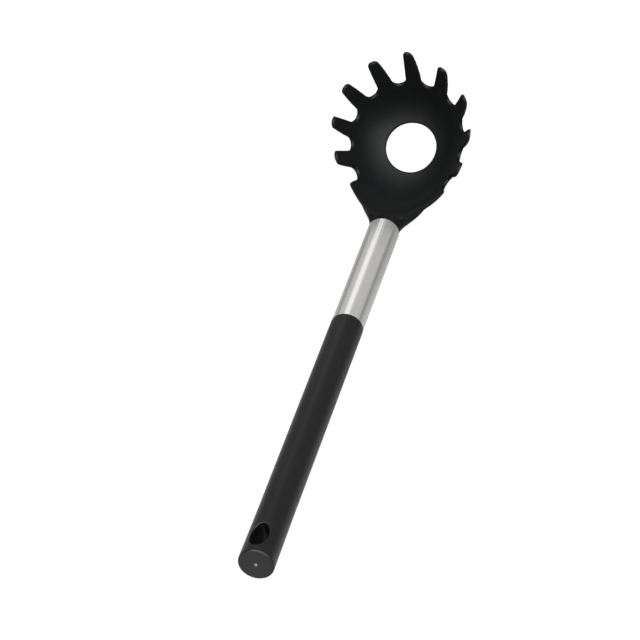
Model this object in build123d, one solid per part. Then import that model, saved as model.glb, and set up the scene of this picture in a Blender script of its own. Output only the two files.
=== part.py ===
from build123d import *
import os
from math import asin, cos, degrees, radians, sin, tan

# Grip, a round bar along +X from its end face, with a matte skin over a hard core
grip_radius = 8.1
grip_end_radius = 8.3
grip_flare_length = 34.0
grip_length = 173.8
grip_skin = 1.5
grip_edge_radius = 0.9
hanging_hole_length = 14.9
hanging_hole_width = 8.05
hanging_hole_from_end = 11.5
hanging_hole_turn = 7.3
hanging_hole_lining = 1.2
hanging_hole_edge_radius = 0.4

# Sleeve, a plain steel tube between the grip and the head, on a spigot at each end
sleeve_radius = 7.95
sleeve_wall = 0.7
sleeve_length = 80.9
spigot_length = 26.0
spigot_clearance = 0.05

# Rod, from the grip's core into the head's spigot
rod_radius = 3.0
rod_in_grip = 60.0
rod_in_head = 22.0
rod_clearance = 0.05

# Bowl, a dish turned about an axis that leans back over the handle
bowl_past_sleeve = 66.7
bowl_above_line = 7.6
bowl_lean = 42.5
bowl_wall = 1.8
hole_radius = 13.2
hole_shift = -0.4
floor_slope = 12.0
floor_bend_radius = 26.0
gullet_circle_radius = 30.69
gullet_height = 16.1
wall_lean = 22.0
tine_curve_radius = 109.0
tine_reach = 34.0
back_stretch_share = 1.28

# Comb of tines round the bowl's front, a gullet being the gap between two of them
tine_count = 9
tine_pitch = 29.1
gullet_radius = 3.65
gullet_half_taper = 8.5
gullet_depth = 11.5
comb_height = 25.0
comb_tilt = 3.7
tip_rise = 8.8
tip_tilt = 8.7
tip_dome_rise = 2.1
tip_flare = 32.0
middle_tip_extra = 3.8

# Side rims, cut level behind the last gullets, and the flanks that run from them to the sleeve
rim_past_sleeve = 7.3
rim_height = 3.0
rim_climb = 5.5
flank_radius = 26.0
flank_angle = 37.4

# Neck, which fans out of the sleeve into the bowl's back: places and sizes of its four sections
neck_past_sleeve = (0, 7.3, 15.3, 21.0)
neck_half_widths = (7.85, 9.1, 12.9, 16.5)
neck_side_tops = (0.8, 1.2, 1.6, 2.4)
neck_side_bottoms = (-0.8, -0.5, -1.0, 0.8)
neck_tops = (7.9, 4.0, 2.6, 2.8)
neck_bottoms = (-6.0, -6.8, -8.1, -8.8)

# How far cutting shapes run past what they cut
overrun = 60.0

sleeve_end = grip_length + sleeve_length
spigot_radius = sleeve_radius - sleeve_wall - spigot_clearance
bowl_seat = Pos(sleeve_end + bowl_past_sleeve, 0, bowl_above_line) * Rot(0, -bowl_lean, 0)
comb_seat = Pos(0, 0, comb_height) * Rot(0, -comb_tilt, 0)
tip_lean = asin(sin(radians(wall_lean)) - (comb_height + tip_rise - gullet_height) / tine_curve_radius)
tip_circle_radius = gullet_circle_radius + tine_curve_radius * (cos(tip_lean) - cos(radians(wall_lean)))
bowl_reach = gullet_circle_radius + tine_reach + overrun


def across_x(x, z=0):
    """A plane that stands across the handle's line at x."""
    return Plane(origin=(x, 0, z), x_dir=(0, 1, 0), z_dir=(1, 0, 0))


def bar(radius, start, end):
    """A round bar on the handle's line."""
    return extrude(across_x(start) * Circle(radius), end - start)


def hanging_hole(lining):
    """The oval hole near the grip's end, turned about the handle's line, wider by a lining all round."""
    oval = Ellipse(hanging_hole_length / 2 + lining, hanging_hole_width / 2 + lining)
    return Pos(hanging_hole_from_end, 0, 0) * Rot(-hanging_hole_turn, 0, 0) * extrude(oval, overrun, both=True)


def grip_core():
    core = bar(grip_radius - grip_skin, grip_skin, grip_length)
    core += bar(spigot_radius, grip_length, grip_length + spigot_length)
    core -= bar(rod_radius + rod_clearance, grip_length - rod_in_grip, grip_length + spigot_length)
    return core - hanging_hole(hanging_hole_lining)


def grip_shell():
    side = Polyline((0, 0), (0, grip_end_radius), (grip_flare_length, grip_radius),
                    (grip_length, grip_radius), (grip_length, 0), close=True)
    shell = revolve(make_face(side), Axis.X)
    shell = fillet(shell.edges().sort_by(Axis.X)[0], grip_edge_radius)
    shell -= hanging_hole(0)
    rims = [edge for edge in shell.edges() if 0 < edge.center().X < 2 * hanging_hole_from_end
            and abs(edge.center().Z) > grip_radius / 2 and abs(edge.center().Y) < hanging_hole_width]
    shell = fillet(rims, hanging_hole_edge_radius)
    core = bar(grip_radius - grip_skin, grip_skin, grip_length) - hanging_hole(hanging_hole_lining)
    return shell - core


def sleeve():
    return bar(sleeve_radius, grip_length, sleeve_end) - bar(sleeve_radius - sleeve_wall, grip_length, sleeve_end)


def core_rod():
    return bar(rod_radius, grip_length - rod_in_grip, sleeve_end - spigot_length + rod_in_head)


def filled_bowl(depth):
    """The bowl filled to its axis, its face lying depth inside the outer skin."""
    wall_up = Vector(sin(radians(wall_lean)), cos(radians(wall_lean)))
    wall_in = Vector(-wall_up.Y, wall_up.X)
    floor_out = Vector(cos(radians(floor_slope)), sin(radians(floor_slope)))
    floor_in = Vector(-floor_out.Y, floor_out.X)
    gullet = Vector(gullet_circle_radius, gullet_height) + wall_in * depth
    rim = Vector(hole_radius, 0) + floor_in * (depth - bowl_wall)
    along = (gullet - rim).cross(wall_up).Z / floor_out.cross(wall_up).Z
    knee = rim + floor_out * along
    hub = rim - floor_out * (rim.X / floor_out.X)
    lower = FilletPolyline(hub, knee, gullet, radius=floor_bend_radius + bowl_wall - depth)
    upper = JernArc(gullet, wall_up, tine_curve_radius - depth, degrees(tine_reach / tine_curve_radius))
    top = upper @ 1
    profile = make_face(lower + upper + Polyline(top, (0, top.Y), hub))
    front = revolve(Rot(0, 0, -90) * (Plane.XZ * profile), Axis.Z, 180)
    back = scale(mirror(front, Plane.YZ), by=(back_stretch_share, 1, 1))
    return front + back


def back_sector():
    """The wedge behind the last gullet on each side, where rims replace the tines."""
    last = radians(tine_count / 2 * tine_pitch)
    corner = Vector(cos(last), sin(last)) * bowl_reach
    fan = Polyline((0, 0), (corner.X, corner.Y), (-bowl_reach, bowl_reach), (-bowl_reach, -bowl_reach),
                   (corner.X, -corner.Y), close=True)
    return extrude(make_face(fan), bowl_reach, both=True)


def gullet_cutter(angle):
    """One gap between two tines: a tapered slot with a round bottom, pointing out from the axis."""
    taper = radians(gullet_half_taper)
    touch = Vector(gullet_radius * cos(taper), gullet_radius * (1 - sin(taper)))
    top = touch + Vector(sin(taper), cos(taper)) * (tine_reach + overrun)
    right = Line(top, touch)
    bottom = ThreePointArc(touch, (0, 0), (-touch.X, touch.Y))
    left = Line(bottom @ 1, (-top.X, top.Y))
    slot = make_face(right + bottom + left + Line(left @ 1, top))
    return comb_seat * Rot(0, 0, angle) * extrude(across_x(0, -gullet_depth) * slot, bowl_reach)


def tip_form(number):
    """The domed block that ends one tine, counted from the middle one."""
    angle = number * tine_pitch
    half_pitch = radians(tine_pitch / 2)
    taper = radians(gullet_half_taper)
    height = tip_rise + tip_circle_radius * cos(radians(angle)) * tan(radians(tip_tilt))
    height += middle_tip_extra if number == 0 else 0
    shoulder = height - tip_dome_rise
    gullet_half = gullet_radius / cos(taper) + (gullet_depth + shoulder - gullet_radius) * tan(taper)
    half_width = (tip_circle_radius * sin(half_pitch) - gullet_half) / cos(half_pitch)
    dome = ThreePointArc((-half_width, shoulder), (0, height), (half_width, shoulder))
    spread = half_width + gullet_depth * tan(radians(tip_flare))
    foot = shoulder - gullet_depth
    sides = Polyline(dome @ 1, (spread, foot), (-spread, foot), dome @ 0)
    return comb_seat * Rot(0, 0, angle) * extrude(across_x(0) * make_face(dome + sides), bowl_reach)


def above_tips():
    """What is cut away above the tines: all that lies outside their domed blocks."""
    block = extrude(Rectangle(2 * bowl_reach, 2 * bowl_reach), bowl_reach)
    block = comb_seat * Rot(0, -tip_tilt, 0) * Pos(0, 0, tip_rise - 2 * tip_dome_rise) * block
    block -= back_sector()
    last = (tine_count - 1) // 2
    for number in range(-last, last + 1):
        block -= tip_form(number)
    return block


def beside_flanks():
    """All that lies outside the line from the sleeve to the shoulder corner, on both sides."""
    arc = JernArc((sleeve_end, sleeve_radius), (1, 0), flank_radius, flank_angle)
    straight = Line(arc @ 1, arc @ 1 + (arc % 1) * bowl_reach)
    end = straight @ 1
    closing = Polyline(end, (end.X, 2 * bowl_reach), (sleeve_end, 2 * bowl_reach), arc @ 0)
    side = extrude(make_face(arc + straight + closing), bowl_reach, both=True)
    return side + mirror(side, Plane.XZ)


def neck_section(x, half_width, side_top, side_bottom, top, bottom):
    """A lens with upright sides, across the neck."""
    over = ThreePointArc((-half_width, side_top), (0, top), (half_width, side_top))
    right = Line(over @ 1, (half_width, side_bottom))
    under = ThreePointArc(right @ 1, (0, bottom), (-half_width, side_bottom))
    left = Line(under @ 1, over @ 0)
    return across_x(sleeve_end + x) * make_face(over + right + under + left)


def neck():
    rows = zip(neck_past_sleeve, neck_half_widths, neck_side_tops, neck_side_bottoms, neck_tops, neck_bottoms)
    return loft([neck_section(*row) for row in rows])


def head():
    bowl = filled_bowl(0) - filled_bowl(bowl_wall) - above_tips()
    for gap in range(tine_count + 1):
        bowl -= gullet_cutter((gap - tine_count / 2) * tine_pitch)
    sector = bowl_seat * back_sector()
    above_rim = extrude(Rectangle(2 * bowl_reach, 2 * bowl_reach), bowl_reach)
    above_rim = Pos(sleeve_end + rim_past_sleeve, 0, rim_height) * Rot(0, -rim_climb, 0) * above_rim
    bowl = bowl_seat * bowl - (sector & above_rim)
    bowl += neck() - bowl_seat * filled_bowl(bowl_wall)
    bowl -= beside_flanks() & sector
    bowl -= bowl_seat * Pos(hole_shift, 0, 0) * Cylinder(hole_radius, bowl_reach)
    spigot = bar(spigot_radius, sleeve_end - spigot_length, sleeve_end)
    rod_bore = bar(rod_radius + rod_clearance, sleeve_end - spigot_length, sleeve_end - spigot_length + rod_in_head)
    return bowl + (spigot - rod_bore)


pieces = {"head": head(), "sleeve": sleeve(), "core_rod": core_rod(), "grip_core": grip_core(),
          "grip_shell": grip_shell()}
whole = Compound(children=[solid for piece in pieces.values() for solid in piece.solids()]).bounding_box()
to_origin = Pos(-whole.center().X, -whole.center().Y, -whole.min.Z)
print("moved by", [round(length, 3) for length in to_origin.position])
os.makedirs("parts", exist_ok=True)
for name, piece in pieces.items():
    export_step(to_origin * piece, f"parts/{name}.step")
    print(name, "solids", len(piece.solids()), "volume", round(piece.volume, 1), "valid", piece.is_valid)
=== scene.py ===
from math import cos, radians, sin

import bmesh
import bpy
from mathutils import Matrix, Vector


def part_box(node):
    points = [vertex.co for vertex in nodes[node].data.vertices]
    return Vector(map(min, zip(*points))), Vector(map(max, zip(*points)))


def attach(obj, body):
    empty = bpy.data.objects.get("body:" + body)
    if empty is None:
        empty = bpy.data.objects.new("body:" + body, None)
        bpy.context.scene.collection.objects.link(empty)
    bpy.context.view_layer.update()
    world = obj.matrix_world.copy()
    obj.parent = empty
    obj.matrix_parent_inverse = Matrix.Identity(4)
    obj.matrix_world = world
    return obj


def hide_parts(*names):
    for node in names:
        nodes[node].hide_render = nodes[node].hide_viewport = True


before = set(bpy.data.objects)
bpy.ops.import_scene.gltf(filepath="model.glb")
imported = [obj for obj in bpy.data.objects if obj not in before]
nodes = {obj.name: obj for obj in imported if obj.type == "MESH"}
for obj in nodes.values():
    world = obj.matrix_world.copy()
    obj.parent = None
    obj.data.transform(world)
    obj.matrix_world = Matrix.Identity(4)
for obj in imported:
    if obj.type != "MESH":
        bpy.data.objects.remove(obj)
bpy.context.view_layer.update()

# %% [markdown]
# A pasta server is a long kitchen tool: a toothed nylon bowl, a steel sleeve and a round matte grip.
# The construction model gives every piece at its real size. This script gives the pieces their looks,
# one at a time, and then lights and photographs them.
#
# Sizes are in metres, in the frame of the construction model: +X runs along the handle to the bowl, and
# +Z is up. The millimetre comes first, because most sizes are written in it, and each node's box is shown.

MM = 0.001
for name in sorted(nodes):
    low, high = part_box(name)
    print(name, "from", [round(v / MM, 1) for v in low], "to", [round(v / MM, 1) for v in high], "mm")

# %% [markdown]
# The camera comes before the materials, because every later step is judged through it. The photograph
# was taken from behind the handle's end, a little to its right, from about 1.4 m away with a long lens.
# A camera is easiest to place as a photographer would: a point to look at, a direction and a distance,
# and then a small roll about its own axis.

# %% Camera
LOOK_AT = Vector((9.51, 14.14, 9.285)) * MM
CAMERA_DISTANCE = 1.4008
CAMERA_AZIMUTH = radians(195.52)
CAMERA_ELEVATION = radians(36.93)
CAMERA_ROLL = radians(-3.19)
FOCAL_PIXELS = 2900
IMAGE_PIXELS = 640
SENSOR_MM = 36
SEEN_DISTANCE = 20

backwards = Vector((cos(CAMERA_AZIMUTH) * cos(CAMERA_ELEVATION), sin(CAMERA_AZIMUTH) * cos(CAMERA_ELEVATION),
                    sin(CAMERA_ELEVATION)))
camera_data = bpy.data.cameras.new("camera")
camera_data.sensor_width = SENSOR_MM
camera_data.lens = FOCAL_PIXELS / IMAGE_PIXELS * SENSOR_MM
camera_data.clip_end = SEEN_DISTANCE
camera = bpy.data.objects.new("camera", camera_data)
turn = backwards.to_track_quat("Z", "Y").to_matrix().to_4x4()
camera.matrix_world = (Matrix.Translation(LOOK_AT + backwards * CAMERA_DISTANCE) @ turn
                       @ Matrix.Rotation(CAMERA_ROLL, 4, "Z"))
bpy.context.scene.collection.objects.link(camera)
bpy.context.scene.camera = camera
print("camera at", [round(v, 3) for v in camera.matrix_world.translation], "lens", round(camera_data.lens, 1))

# %% [markdown]
# The head is one nylon moulding. The construction model has its true form, but its edges are sharp, and a
# moulding has none: the tool that shapes it is polished round, and so is every edge that touches a pan.
# Bevels on this many crossing cuts would tear. So a merged copy of the construction mesh is rebuilt from
# small cubes, a voxel remesh, and smoothed a few times, which rounds each edge by about half a millimetre
# and leaves the broad faces where they were. A decimate step then takes out the points that flat stretches
# don't need.

# %% Head
VOXEL = 0.36 * MM
MERGE_GAP = 0.001 * MM
SMOOTH_STEPS = 8
SMOOTH_FACTOR = 0.5
KEPT_SHARE = 0.4


def merged_copy(name):
    """A new object with a construction node's mesh, its loose triangles joined at their corners."""
    shape = bmesh.new()
    shape.from_mesh(nodes[name].data)
    bmesh.ops.remove_doubles(shape, verts=shape.verts, dist=MERGE_GAP)
    mesh = bpy.data.meshes.new(name + "_surface")
    shape.to_mesh(mesh)
    shape.free()
    piece = bpy.data.objects.new(name + "_surface", mesh)
    bpy.context.scene.collection.objects.link(piece)
    return piece


def apply_modifiers(piece):
    """Makes a piece's modifiers part of its mesh."""
    bpy.context.view_layer.update()
    finished = bpy.data.meshes.new_from_object(piece.evaluated_get(bpy.context.evaluated_depsgraph_get()))
    piece.modifiers.clear()
    piece.data = finished
    print(piece.name, len(finished.vertices), "points,", len(finished.polygons), "faces")


head = merged_copy("head")
remesh = head.modifiers.new("cubes", "REMESH")
remesh.mode = "VOXEL"
remesh.voxel_size = VOXEL
smooth = head.modifiers.new("rounded edges", "SMOOTH")
smooth.factor = SMOOTH_FACTOR
smooth.iterations = SMOOTH_STEPS
thin_out = head.modifiers.new("fewer points", "DECIMATE")
thin_out.ratio = KEPT_SHARE
apply_modifiers(head)
head.data.shade_smooth()
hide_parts("head")
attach(head, "root")

# %% [markdown]
# A small round gate mark sits in the middle of the grip's end face, where the moulding was fed. It shows
# as one pale dot, whose paleness is a painted highlight. It is a shallow dome, made from a small ball that is
# pressed flat along the handle's line and set halfway into the face.

# %% Gate mark
GATE_RADIUS = 0.8 * MM
GATE_RISE = 0.3 * MM
GATE_SEGMENTS = 32
grip_low, grip_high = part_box("grip_shell")
grip_end = Vector((grip_low.x, (grip_low.y + grip_high.y) / 2, (grip_low.z + grip_high.z) / 2))

shape = bmesh.new()
bmesh.ops.create_uvsphere(shape, u_segments=GATE_SEGMENTS, v_segments=GATE_SEGMENTS // 2, radius=GATE_RADIUS)
bmesh.ops.scale(shape, vec=(GATE_RISE / GATE_RADIUS, 1, 1), verts=shape.verts)
bmesh.ops.translate(shape, vec=grip_end, verts=shape.verts)
mesh = bpy.data.meshes.new("gate_mark")
shape.to_mesh(mesh)
shape.free()
mesh.shade_smooth()
gate_mark = bpy.data.objects.new("gate_mark", mesh)
bpy.context.scene.collection.objects.link(gate_mark)
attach(gate_mark, "root")
print("gate mark at", [round(v / MM, 1) for v in grip_end], "mm")

# %% [markdown]
# The materials are made of nodes, so that they need no picture. A few helpers keep them short. One starts
# a material and sets its even values on the shader's own sockets, and one makes a noise in the piece's own
# coordinates. Three lead that noise to a socket, to a colour, or to a fine bump of the surface. The last
# ones do a sum, rise softly from one value to another, and put a finished material on a piece.

# %% Material helpers
NOISE_LOW = 0.3
NOISE_HIGH = 0.7
METAL = 1.0


def new_material(name, colour, roughness, metallic=0):
    """A material with its tree, its shader and the piece's own coordinates."""
    material = bpy.data.materials.new(name)
    material.use_nodes = True
    tree = material.node_tree
    shader = tree.nodes["Principled BSDF"]
    shader.inputs["Base Color"].default_value = (*colour, 1)
    shader.inputs["Roughness"].default_value = roughness
    shader.inputs["Metallic"].default_value = metallic
    place = tree.nodes.new("ShaderNodeTexCoord").outputs["Object"]
    return material, tree, shader, place


def noise(tree, place, scale, detail=2, stretch=(1, 1, 1)):
    """A noise value, its scale in waves per metre, its detail the number of finer layers."""
    mapping = tree.nodes.new("ShaderNodeMapping")
    mapping.inputs["Scale"].default_value = stretch
    tree.links.new(place, mapping.inputs["Vector"])
    texture = tree.nodes.new("ShaderNodeTexNoise")
    texture.inputs["Scale"].default_value = scale
    texture.inputs["Detail"].default_value = detail
    tree.links.new(mapping.outputs["Vector"], texture.inputs["Vector"])
    return texture.outputs["Fac"]


def spread(tree, value, low, high, socket):
    """Maps a noise value's middle range onto low to high, and feeds a socket with it."""
    ramp = tree.nodes.new("ShaderNodeMapRange")
    ramp.inputs["From Min"].default_value = NOISE_LOW
    ramp.inputs["From Max"].default_value = NOISE_HIGH
    ramp.inputs["To Min"].default_value = low
    ramp.inputs["To Max"].default_value = high
    tree.links.new(value, ramp.inputs["Value"])
    tree.links.new(ramp.outputs["Result"], socket)


def tint(tree, value, dark, light, socket):
    """Runs a colour from dark to light with a noise value."""
    ramp = tree.nodes.new("ShaderNodeValToRGB")
    ramp.color_ramp.elements[0].position = NOISE_LOW
    ramp.color_ramp.elements[0].color = (*dark, 1)
    ramp.color_ramp.elements[1].position = NOISE_HIGH
    ramp.color_ramp.elements[1].color = (*light, 1)
    tree.links.new(value, ramp.inputs["Fac"])
    tree.links.new(ramp.outputs["Color"], socket)


def soft_step(tree, value, start, end, low, high):
    """Rises smoothly from low to high while a value runs from start to end."""
    ramp = tree.nodes.new("ShaderNodeMapRange")
    ramp.interpolation_type = "SMOOTHSTEP"
    for name, number in (("From Min", start), ("From Max", end), ("To Min", low), ("To Max", high)):
        ramp.inputs[name].default_value = number
    tree.links.new(value, ramp.inputs["Value"])
    return ramp.outputs["Result"]


def arithmetic(tree, operation, *values):
    """A sum's result, its values either numbers or sockets."""
    node = tree.nodes.new("ShaderNodeMath")
    node.operation = operation
    for socket, value in zip(node.inputs, values):
        if isinstance(value, (int, float)):
            socket.default_value = value
        else:
            tree.links.new(value, socket)
    return node.outputs[0]


def bump(tree, value, height, strength, shader):
    """Lets a noise value tilt the surface a little."""
    node = tree.nodes.new("ShaderNodeBump")
    node.inputs["Distance"].default_value = height
    node.inputs["Strength"].default_value = strength
    tree.links.new(value, node.inputs["Height"])
    tree.links.new(node.outputs["Normal"], shader.inputs["Normal"])


def dress(piece, material):
    """Gives a piece one material."""
    piece.data.materials.clear()
    piece.data.materials.append(material)
    print(piece.name, "wears", material.name)


# %% [markdown]
# The head's nylon is close to black and has a satin face: fine spark texture from the moulding tool, which
# spreads a lamp's reflection into a soft sheen. So the colour is very dark with a faint mottle, the
# roughness wavers a little, and a fine noise tilts the surface. The specular level is far under the usual
# one, because the texture swallows most of the reflection.

# %% Nylon
NYLON_DARK = (0.0011, 0.0013, 0.0014)
NYLON_LIGHT = (0.0017, 0.0018, 0.0019)
NYLON_SPECULAR = 0.085
NYLON_SMOOTHEST = 0.46
NYLON_ROUGHEST = 0.54
MOTTLE_WAVES = 60
SATIN_WAVES = 260
SPARK_WAVES = 3200
SPARK_DEPTH = 0.02 * MM
BUMP_STRENGTH = 0.3
nylon, tree, shader, place = new_material("black_nylon", NYLON_DARK, NYLON_ROUGHEST)
shader.inputs["Specular IOR Level"].default_value = NYLON_SPECULAR
tint(tree, noise(tree, place, MOTTLE_WAVES), NYLON_DARK, NYLON_LIGHT, shader.inputs["Base Color"])
spread(tree, noise(tree, place, SATIN_WAVES, 3), NYLON_SMOOTHEST, NYLON_ROUGHEST, shader.inputs["Roughness"])
bump(tree, noise(tree, place, SPARK_WAVES), SPARK_DEPTH, BUMP_STRENGTH, shader)
dress(head, nylon)

# %% [markdown]
# The grip has a matte skin over its core, with a coarser grain than the nylon. The construction node
# already has the right shape, with its softened end edge and the oval hole, so it only gets the material.
# The flat end face is a shade paler than the rest. This is painted light, standing in for the light that falls
# on
# that face. One material does both: a soft step along the handle adds a little grey, the painted light, over the
# last half millimetre.

# %% Grip
SKIN_DARK = (0.0004, 0.0004, 0.0005)
SKIN_LIGHT = (0.0008, 0.0007, 0.0007)
SKIN_SPECULAR = 0.17
SKIN_SMOOTHEST = 0.37
SKIN_ROUGHEST = 0.45
SKIN_MOTTLE_WAVES = 70
SKIN_WAVES = 300
GRAIN_WAVES = 2600
GRAIN_DEPTH = 0.03 * MM
END_PAINTED_LIGHT = 0.0055
END_FADE = 0.5 * MM
skin, tree, shader, place = new_material("grip_skin", SKIN_DARK, SKIN_ROUGHEST)
shader.inputs["Specular IOR Level"].default_value = SKIN_SPECULAR
along = tree.nodes.new("ShaderNodeSeparateXYZ")
tree.links.new(place, along.inputs["Vector"])
# Painted light: grey added to the end face's colour, for the light that falls on it.
end_painted_light = soft_step(tree, along.outputs["X"], grip_low.x, grip_low.x + END_FADE, END_PAINTED_LIGHT, 0)
paler = tree.nodes.new("ShaderNodeVectorMath")
paler.operation = "ADD"
tint(tree, noise(tree, place, SKIN_MOTTLE_WAVES), SKIN_DARK, SKIN_LIGHT, paler.inputs[0])
tree.links.new(end_painted_light, paler.inputs[1])
tree.links.new(paler.outputs["Vector"], shader.inputs["Base Color"])
spread(tree, noise(tree, place, SKIN_WAVES, 3), SKIN_SMOOTHEST, SKIN_ROUGHEST, shader.inputs["Roughness"])
bump(tree, noise(tree, place, GRAIN_WAVES), GRAIN_DEPTH, BUMP_STRENGTH, shader)
dress(nodes["grip_shell"], skin)

# %% [markdown]
# The gate mark is the same skin, pinched off where it was fed, and without grain. Its pale grey is a painted
# highlight.

# %% Gate mark, painted highlight
GATE_PAINTED_HIGHLIGHT = (0.06, 0.06, 0.06)
GATE_SMOOTHEST = 0.36
GATE_ROUGHEST = 0.44
GATE_WAVES = 2000
# Painted highlight: the gate mark's grey is far paler than the skin, standing in for a reflection.
gate_painted_highlight, tree, shader, place = new_material("gate_highlight_paint", GATE_PAINTED_HIGHLIGHT, GATE_ROUGHEST)
spread(tree, noise(tree, place, GATE_WAVES), GATE_SMOOTHEST, GATE_ROUGHEST, shader.inputs["Roughness"])
dress(gate_mark, gate_painted_highlight)

# %% [markdown]
# The sleeve is stainless tube, turned against a fine abrasive belt, so its scratches run round it as rings.
# A metal's colour is the tint of its reflections. The rings are a noise squeezed along the tube and drawn
# out across it. They change the tint and the roughness, and bump the surface by a few thousandths of a
# millimetre.

# %% Steel
STEEL_DARK = (0.535, 0.53, 0.515)
STEEL_LIGHT = (0.62, 0.615, 0.60)
STEEL_SMOOTHEST = 0.2
STEEL_ROUGHEST = 0.3
RING_STRETCH = (9000, 120, 120)
RING_DEPTH = 0.004 * MM
steel, tree, shader, place = new_material("brushed_steel", STEEL_LIGHT, STEEL_ROUGHEST, METAL)
rings = noise(tree, place, 1, 4, RING_STRETCH)
tint(tree, rings, STEEL_DARK, STEEL_LIGHT, shader.inputs["Base Color"])
spread(tree, rings, STEEL_SMOOTHEST, STEEL_ROUGHEST, shader.inputs["Roughness"])
bump(tree, rings, RING_DEPTH, BUMP_STRENGTH, shader)
dress(nodes["sleeve"], steel)

# %% [markdown]
# The rod and the grip's core are hidden. They still get a finish each, because a part that is taken apart
# shows them: plain drawn steel with marks along its length, and bare moulded plastic.

# %% Inner pieces
ROD_GREY = (0.5, 0.5, 0.5)
ROD_SMOOTHEST = 0.3
ROD_ROUGHEST = 0.42
DRAWN_STRETCH = (150, 4000, 4000)
CORE_DARK = (0.005, 0.005, 0.005)
CORE_LIGHT = (0.008, 0.008, 0.008)
CORE_ROUGHNESS = 0.5
CORE_MOTTLE_WAVES = 80
CORE_GRAIN_WAVES = 1500
CORE_GRAIN_DEPTH = 0.02 * MM
rod_finish, tree, shader, place = new_material("rod_steel", ROD_GREY, ROD_ROUGHEST, METAL)
spread(tree, noise(tree, place, 1, 3, DRAWN_STRETCH), ROD_SMOOTHEST, ROD_ROUGHEST, shader.inputs["Roughness"])
dress(nodes["core_rod"], rod_finish)
core_finish, tree, shader, place = new_material("core_plastic", CORE_DARK, CORE_ROUGHNESS)
tint(tree, noise(tree, place, CORE_MOTTLE_WAVES), CORE_DARK, CORE_LIGHT, shader.inputs["Base Color"])
bump(tree, noise(tree, place, CORE_GRAIN_WAVES), CORE_GRAIN_DEPTH, BUMP_STRENGTH, shader)
dress(nodes["grip_core"], core_finish)

# %% [markdown]
# The floor is a wide pale sheet. Where a camera ray meets it, most of its colour is its own white glow,
# which keeps the sheet even. The rest is a plain diffuse white, which takes the object's faint shadow.
# Where a mirrored ray meets it, it only glows: white at the grip's end, and darker towards the bowl. The darker
# glow is painted shade, seen only in reflections. It keeps the tines black, while the grip's end and the steel
# still mirror light.

# %% Floor
FLOOR_HALF = 3.0
FLOOR_GLOW = 0.95
FLOOR_MIRRORED = 0.45
FLOOR_BRIGHT_END = -0.16
FLOOR_DARK_END = 0.24
PLAIN_WHITE = (0.8, 0.8, 0.8, 1)


def mirrored_ray(tree):
    """1 on a mirrored or refracted ray, else 0."""
    path = tree.nodes.new("ShaderNodeLightPath")
    return arithmetic(tree, "MAXIMUM", path.outputs["Is Glossy Ray"], path.outputs["Is Transmission Ray"])


shape = bmesh.new()
bmesh.ops.create_grid(shape, x_segments=1, y_segments=1, size=FLOOR_HALF)
mesh = bpy.data.meshes.new("floor")
shape.to_mesh(mesh)
shape.free()
floor = bpy.data.objects.new("floor", mesh)
bpy.context.scene.collection.objects.link(floor)

floor_white = bpy.data.materials.new("floor_white")
floor_white.use_nodes = True
tree = floor_white.node_tree
tree.nodes.clear()
output = tree.nodes.new("ShaderNodeOutputMaterial")
plain = tree.nodes.new("ShaderNodeBsdfDiffuse")
plain.inputs["Color"].default_value = PLAIN_WHITE
mirrored = mirrored_ray(tree)
across = tree.nodes.new("ShaderNodeSeparateXYZ")
tree.links.new(tree.nodes.new("ShaderNodeTexCoord").outputs["Object"], across.inputs["Vector"])
# Painted shade: the glow that mirrored rays see falls darker towards the bowl.
darker = soft_step(tree, across.outputs["X"], FLOOR_BRIGHT_END, FLOOR_DARK_END, 0, FLOOR_MIRRORED - 1)
glow_strength = arithmetic(tree, "MULTIPLY_ADD", mirrored, darker, 1)
glow = tree.nodes.new("ShaderNodeEmission")
tree.links.new(glow_strength, glow.inputs["Strength"])
seen = tree.nodes.new("ShaderNodeLightPath").outputs["Is Camera Ray"]
glow_share = arithmetic(tree, "MAXIMUM", arithmetic(tree, "MULTIPLY", seen, FLOOR_GLOW), mirrored)
mix = tree.nodes.new("ShaderNodeMixShader")
tree.links.new(glow_share, mix.inputs["Fac"])
tree.links.new(plain.outputs[0], mix.inputs[1])
tree.links.new(glow.outputs[0], mix.inputs[2])
tree.links.new(mix.outputs[0], output.inputs["Surface"])
dress(floor, floor_white)

# %% [markdown]
# The world is the studio round the table. The camera sees it white. Mirrored rays see a bright backdrop
# beyond the bowl and a grey room elsewhere, because black plastic only looks black where it mirrors
# something darker, while the steel needs the backdrop. A seam along the horizon is darker still: it draws
# the two grey lines near the steel's edges. All other rays get a low even light.

# %% World
AMBIENT = 0.22
ROOM_GREY = 0.36
BACKDROP_BRIGHT = 0.9
BACKDROP_FROM = 0.5
BACKDROP_TO = 0.8
SEAM_SHARE = 0.35
SEAM_TO = 0.22
WORLD_WHITE = (1, 1, 1, 1)
world = bpy.data.worlds.new("studio")
bpy.context.scene.world = world
world.use_nodes = True
tree = world.node_tree
background = tree.nodes["Background"]
background.inputs["Color"].default_value = WORLD_WHITE
direction = tree.nodes.new("ShaderNodeSeparateXYZ")
tree.links.new(tree.nodes.new("ShaderNodeTexCoord").outputs["Generated"], direction.inputs["Vector"])
backdrop = soft_step(tree, direction.outputs["X"], BACKDROP_FROM, BACKDROP_TO, ROOM_GREY, BACKDROP_BRIGHT)
seam = soft_step(tree, direction.outputs["Z"], 0, SEAM_TO, SEAM_SHARE, 1)
room = tree.nodes.new("ShaderNodeMix")
room.inputs["A"].default_value = AMBIENT
tree.links.new(mirrored_ray(tree), room.inputs["Factor"])
tree.links.new(arithmetic(tree, "MULTIPLY", backdrop, seam), room.inputs["B"])
seen = tree.nodes.new("ShaderNodeLightPath").outputs["Is Camera Ray"]
tree.links.new(arithmetic(tree, "MAXIMUM", seen, room.outputs["Result"]), background.inputs["Strength"])
print("studio: even light", AMBIENT, "backdrop", BACKDROP_BRIGHT)

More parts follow.
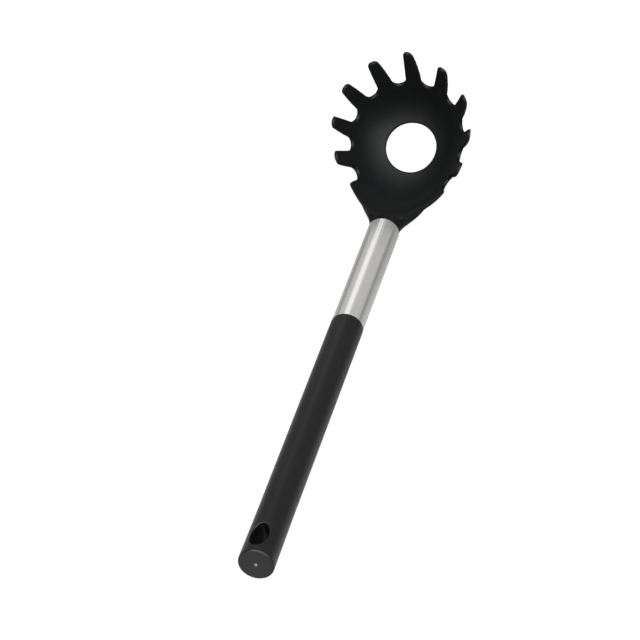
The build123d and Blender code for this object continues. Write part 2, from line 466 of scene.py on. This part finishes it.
# %% [markdown]
# Four soft lamps do the modelling. The key hangs over the handle and draws the sheen on the bowl's floor.
# The side lamp carries that sheen on to the bowl's left wall. The fill stands beyond the bowl, and shows as
# the broad soft stripe on the grip. The streak is a narrow one beside it, which widens the bright line on
# the steel. The key and the side lamp are strong, for plastic that mirrors little, and would burn the steel
# white where it mirrors them. So they are kept off the sleeve, as a photographer does with a flag.

# %% Lamps
LAMP_TARGET = Vector((0.05, 0, 0.02))
SOFTBOXES = [
    # name, direction from the target, distance, width, height in metres, watts, kept off the steel
    ("key", (-0.56, -0.04, 0.83), 1.2, 1.6, 1.6, 80, True),
    ("side", (-0.3, -0.75, 0.59), 1.2, 0.6, 0.8, 16, True),
    ("fill", (0.77, 0.2, 0.605), 1.5, 0.5, 0.8, 1.0, False),
    ("streak", (0.77, 0.0, 0.638), 1.5, 0.2, 0.8, 0.08, False),
]


def softbox(name, direction, distance, width, height, watts):
    """A rectangular lamp that looks at the target from a direction."""
    data = bpy.data.lights.new(name, "AREA")
    data.shape = "RECTANGLE"
    data.size = width
    data.size_y = height
    data.energy = watts
    lamp = bpy.data.objects.new(name, data)
    away = Vector(direction).normalized()
    turn = away.to_track_quat("Z", "Y").to_matrix().to_4x4()
    lamp.matrix_world = Matrix.Translation(LAMP_TARGET + away * distance) @ turn
    bpy.context.scene.collection.objects.link(lamp)
    return lamp


def keep_off(lamp, piece):
    """Lets a lamp light everything but one piece."""
    receivers = bpy.data.collections.new(lamp.name + "_receivers")
    receivers.objects.link(piece)
    receivers.collection_objects[0].light_linking.link_state = "EXCLUDE"
    lamp.light_linking.receiver_collection = receivers


for *lamp_values, flagged in SOFTBOXES:
    lamp = softbox(*lamp_values)
    if flagged:
        keep_off(lamp, nodes["sleeve"])
    print(lamp.name, "at", [round(v, 2) for v in lamp.matrix_world.translation], round(lamp.data.energy, 2), "W")

# %% [markdown]
# The last cell sets the plain view, so that a colour shows as it is written. The box of the finished pieces
# differs from that of the construction model by the gate mark, which stands out by 0.3 mm, and by the
# rounding of the head's edges.

# %% The plain view, and the end
bpy.context.scene.view_settings.view_transform = "Standard"
